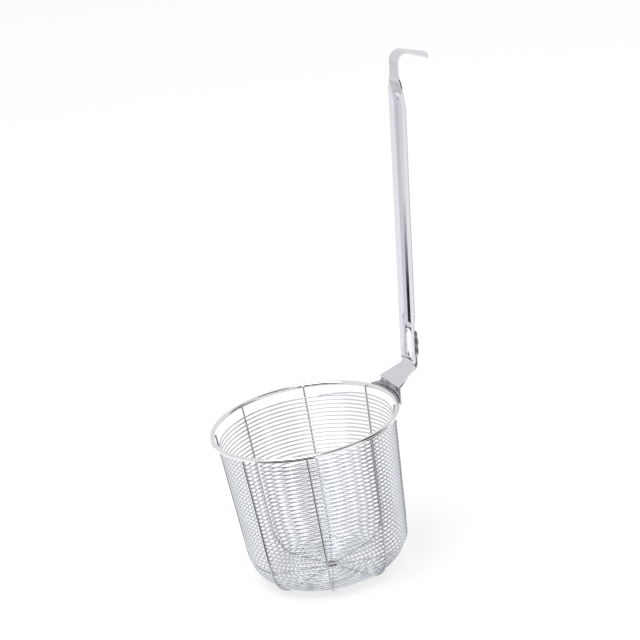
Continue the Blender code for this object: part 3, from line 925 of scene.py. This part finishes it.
def new_material(name, inputs):
    """Return a material, its tree and its shader, whose inputs are set."""
    material = bpy.data.materials.new(name)
    material.use_nodes = True
    tree = material.node_tree
    shader = tree.nodes["Principled BSDF"]
    feed(tree, shader, inputs)
    return material, tree, shader


def steel_surface():
    """Return the group for steel: cloudy polish, scratches, and the height for a slight bump."""
    name = "Steel surface"
    if name in bpy.data.node_groups:
        return bpy.data.node_groups[name]
    levels = ("Roughness", "Cloud", "Cloud scale", "Scratch", "Scratch scale")
    group, given, result = new_group(
        name,
        {"Vector": "Vector", **dict.fromkeys(levels, "Float"), "Colour": "Color"},
        {"Colour": "Color", "Roughness": "Float", "Height": "Float"},
    )
    marks = []
    for label, detail in (("Cloud", CLOUD_DETAIL), ("Scratch", SCRATCH_DETAIL)):
        inputs = {"Vector": given["Vector"], "Scale": given[f"{label} scale"], "Detail": detail}
        noise = add_node(group, "ShaderNodeTexNoise", inputs).outputs["Fac"]
        centred = calculate(group, "SUBTRACT", noise, 0.5)
        marks.append(calculate(group, "MULTIPLY", centred, given[label]))
    feed(group, result, {"Height": noise})
    both = calculate(group, "ADD", *marks)
    rough = calculate(group, "ADD", given["Roughness"], both, clamp=True)
    shade = calculate(group, "SUBTRACT", 1.0, both)
    inputs = {0: given["Colour"], "Scale": shade}
    tint = add_node(group, "ShaderNodeVectorMath", inputs, operation="SCALE")
    feed(group, result, {"Colour": tint.outputs[0], "Roughness": rough})
    return group


def steel(name, finish):
    """Return one of the steels, which is made when it is first asked for."""
    if name in bpy.data.materials:
        return bpy.data.materials[name]
    colour_name, roughness_name, cloud, scratch, bump = STEELS[name]
    base = (*getattr(finish, colour_name), 1.0)
    roughness = getattr(finish, roughness_name)
    plain = {"Metallic": 1.0, "Base Color": base, "Roughness": roughness}
    material, tree, shader = new_material(name, plain)
    place = add_node(tree, "ShaderNodeTexCoord").outputs["Object"]
    if name == "Pressed sheet":
        place = sheet_grain(tree)
    if name == "Heat tinted sheet":
        base = heat_tint(tree, place, base, (*finish.sheet_colour, 1.0))
    inputs = {"Vector": place, "Colour": base, "Roughness": roughness}
    for label, (strength, scale) in (("Cloud", cloud), ("Scratch", scratch)):
        inputs |= {label: strength, f"{label} scale": scale}
    surface = add_node(tree, "ShaderNodeGroup", inputs, node_tree=steel_surface()).outputs
    inputs = {"Strength": bump, "Distance": BUMP_DEPTH, "Height": surface["Height"]}
    normal = add_node(tree, "ShaderNodeBump", inputs).outputs["Normal"]
    inputs = {"Base Color": surface["Colour"], "Roughness": surface["Roughness"], "Normal": normal}
    feed(tree, shader, inputs)
    return material


def sheet_grain(tree):
    """Return places on a flat sheet that draw scratches out into a grain along the handle."""
    flat = add_node(tree, "ShaderNodeUVMap")
    inputs = {"Vector": flat.outputs["UV"], "Scale": (1.0, GRAIN, 1.0)}
    return add_node(tree, "ShaderNodeMapping", inputs).outputs["Vector"]


def heat_tint(tree, place, tinted, clean):
    """Return a colour that goes from tinted next to the rim to clean further up."""
    height = add_node(tree, "ShaderNodeSeparateXYZ", {0: place}).outputs["Z"]
    inputs = {"Value": height, "From Min": TINT_FADE[0], "From Max": TINT_FADE[1]}
    part = add_node(tree, "ShaderNodeMapRange", inputs).outputs["Result"]
    inputs = {"Factor": part, "A": tinted, "B": clean}
    return add_node(tree, "ShaderNodeMix", inputs, data_type="RGBA").outputs["Result"]


class BASKET_OT_stage(bpy.types.Operator):
    """Set up the pale floor, the soft light and the camera"""

    bl_idname = "basket.stage"
    bl_label = "Stage"

    def execute(self, context):
        settings = context.scene.stage_settings
        add_floor(settings)
        add_studio(context.scene, settings)
        add_camera(context.scene, settings)
        context.scene.view_settings.view_transform = "Standard"
        return {"FINISHED"}


def add_floor(settings):
    """Add the plain pale floor and the cards on it."""
    bpy.ops.mesh.primitive_plane_add(size=settings.floor_size, location=(0, 0, 0))
    floor = bpy.context.object
    floor.name = "floor"
    matt = {"Base Color": (*settings.floor_colour, 1.0), "Roughness": 0.9, "Specular IOR Level": 0.0}
    material, tree, shader = new_material("Pale floor", matt)
    path = add_node(tree, "ShaderNodeLightPath").outputs
    rays = path["Is Camera Ray"]
    for kind in ("Is Glossy Ray", "Is Transmission Ray"):
        rays = calculate(tree, "MAXIMUM", rays, path[kind])
    level = calculate(tree, "MULTIPLY", rays, settings.floor_white)
    white = add_node(tree, "ShaderNodeEmission", {"Color": (1, 1, 1, 1)})
    look = mix_shaders(tree, level, shader, white)
    feed(tree, tree.nodes["Material Output"], {"Surface": look})
    floor.data.materials.append(material)
    cards = [add_card(*card) for card in FLOOR_CARDS]


def add_card(first, last, near, dark, far, end, grey):
    """Lay a card on the floor that only reflections see, black up to a distance and fading past it."""
    bpy.ops.mesh.primitive_grid_add(x_subdivisions=CARD_STEPS, y_subdivisions=1, size=1.0)
    card = bpy.context.object
    card.name = "black_card"
    for vertex in card.data.vertices:
        azimuth = math.radians(first + (last - first) * (vertex.co.x + 0.5))
        vertex.co = around(near + (end - near) * (vertex.co.y + 0.5), azimuth, CARD_Z)
    material, tree, shader = new_material("Black card", {"Roughness": 1.0, "Specular IOR Level": 0.0})
    place = add_node(tree, "ShaderNodeTexCoord").outputs["Object"]
    away = add_node(tree, "ShaderNodeVectorMath", {0: place}, operation="LENGTH").outputs["Value"]
    inputs = {"Value": away, "From Min": dark, "From Max": far, "To Min": CARD_GREY, "To Max": grey}
    fade = add_node(tree, "ShaderNodeMapRange", inputs)
    feed(tree, shader, {"Base Color": fade.outputs["Result"]})
    card.data.materials.append(material)
    card.visible_camera = False
    card.visible_diffuse = False
    card.visible_shadow = False
    return card


def add_studio(scene, settings):
    """Surround the object with an even white studio that has dark gaps for steel to reflect."""
    world = bpy.data.worlds.new("Studio")
    scene.world = world
    world.use_nodes = True
    tree = world.node_tree
    tree.nodes.clear()
    direction = add_node(tree, "ShaderNodeTexCoord").outputs["Generated"]
    light = 1.0
    for place in DARK_GAPS:
        inputs = dict(zip(GAP_LABELS, map(math.radians, place)), Direction=direction)
        gap = add_node(tree, "ShaderNodeGroup", inputs, node_tree=studio_gap())
        light = calculate(tree, "MINIMUM", light, gap.outputs["Light"])
    inputs = {"Value": light, "To Min": GAP_GREY, "To Max": settings.studio_grey}
    mirrored = add_node(tree, "ShaderNodeMapRange", inputs).outputs["Result"]
    sides = []
    for shade in ((1, 1, 1, 1), mirrored):
        inputs = {"Color": shade, "Strength": settings.light_level}
        sides.append(add_node(tree, "ShaderNodeBackground", inputs))
    glossy = add_node(tree, "ShaderNodeLightPath").outputs["Is Glossy Ray"]
    add_node(tree, "ShaderNodeOutputWorld", {"Surface": mix_shaders(tree, glossy, *sides)})
    bpy.ops.object.light_add(type="AREA", location=LAMP_PLACE)
    lamp = bpy.context.object
    lamp.name = "soft_lamp"
    lamp.data.shape = "SQUARE"
    lamp.data.size = LAMP_SIDE
    lamp.data.energy = settings.lamp_power
    lamp.rotation_euler = Vector(LAMP_DIRECTION).to_track_quat("Z", "Y").to_euler()


def studio_gap():
    """Return the group for one dark gap of the studio, given by its place and size as angles."""
    name = "Studio gap"
    if name in bpy.data.node_groups:
        return bpy.data.node_groups[name]
    inputs = {"Direction": "Vector", **dict.fromkeys(GAP_LABELS, "Float")}
    group, given, result = new_group(name, inputs, {"Light": "Float"})
    parts = add_node(group, "ShaderNodeSeparateXYZ", {0: given["Direction"]}).outputs
    azimuth = calculate(group, "ARCTAN2", parts["Y"], parts["X"])
    height = calculate(group, "ARCSINE", parts["Z"])
    edges = []
    for value, centre, size in ((azimuth, "Azimuth", "Width"), (height, "Elevation", "Height")):
        off = calculate(group, "SUBTRACT", value, given[centre])
        wrapped = calculate(group, "WRAP", off, math.pi, -math.pi)
        far = calculate(group, "ABSOLUTE", wrapped)
        half = calculate(group, "MULTIPLY", given[size], 0.5)
        edges.append(calculate(group, "SUBTRACT", far, half))
    outside = calculate(group, "MAXIMUM", *edges)
    soft = calculate(group, "DIVIDE", outside, given["Softness"])
    inputs = {"Value": soft, "From Min": -1.0, "From Max": 1.0}
    light = add_node(group, "ShaderNodeMapRange", inputs, interpolation_type="SMOOTHSTEP")
    feed(group, result, {"Light": light.outputs["Result"]})
    return group


def add_camera(scene, settings):
    """Add the long lens at the photograph's viewing angle."""
    look = Matrix.Rotation(-settings.azimuth, 3, "Z")
    look @= Matrix.Rotation(math.pi / 2 - settings.elevation, 3, "X")
    turn = look.copy()
    for value, axis in ((settings.pan, "Y"), (settings.tilt, "X"), (settings.roll, "Z")):
        turn @= Matrix.Rotation(value, 3, axis)
    target = Vector((0.0, 0.0, settings.target_z))
    bpy.ops.object.camera_add(location=target + look @ Vector((0.0, 0.0, settings.distance)))
    camera = bpy.context.object
    camera.rotation_euler = turn.to_euler()
    camera.data.lens = settings.lens
    camera.data.sensor_width = SENSOR
    camera.data.clip_end = SIGHT
    scene.camera = camera


class BASKET_PT_panel(bpy.types.Panel):
    """Buttons and sizes of the basket"""

    bl_idname = "BASKET_PT_panel"
    bl_label = "Deep Wire Basket"
    bl_space_type = "VIEW_3D"
    bl_region_type = "UI"
    bl_category = "Basket"

    def draw(self, context):
        layout = self.layout
        for operator in OPERATORS:
            layout.operator(operator.bl_idname)
        for group in GROUPS:
            box = layout.box()
            settings = getattr(context.scene, group)
            for name in settings.__annotations__:
                box.prop(settings, name)


OPERATORS = (
    BASKET_OT_rim,
    BASKET_OT_stays,
    BASKET_OT_winding,
    BASKET_OT_nugget,
    BASKET_OT_handle,
    BASKET_OT_bracket,
    BASKET_OT_beads,
    BASKET_OT_stage,
)
GROUPS = {
    "basket_sizes": BasketSizes,
    "handle_sizes": HandleSizes,
    "basket_finish": BasketFinish,
    "stage_settings": StageSettings,
}


def register():
    """Register the sizes, the operators and the panel."""
    for name, group in GROUPS.items():
        bpy.utils.register_class(group)
        setattr(bpy.types.Scene, name, bpy.props.PointerProperty(type=group))
    for operator in OPERATORS:
        bpy.utils.register_class(operator)
    bpy.utils.register_class(BASKET_PT_panel)


def unregister():
    """Take back what register added."""
    bpy.utils.unregister_class(BASKET_PT_panel)
    for operator in reversed(OPERATORS):
        bpy.utils.unregister_class(operator)
    for name, group in GROUPS.items():
        delattr(bpy.types.Scene, name)
        bpy.utils.unregister_class(group)


def main():
    """Build every piece and the stage."""
    register()
    bpy.ops.basket.rim()
    bpy.ops.basket.stays()
    bpy.ops.basket.winding()
    bpy.ops.basket.nugget()
    bpy.ops.basket.handle()
    bpy.ops.basket.bracket()
    bpy.ops.basket.beads()
    bpy.ops.basket.stage()


if __name__ == "__main__":
    main()
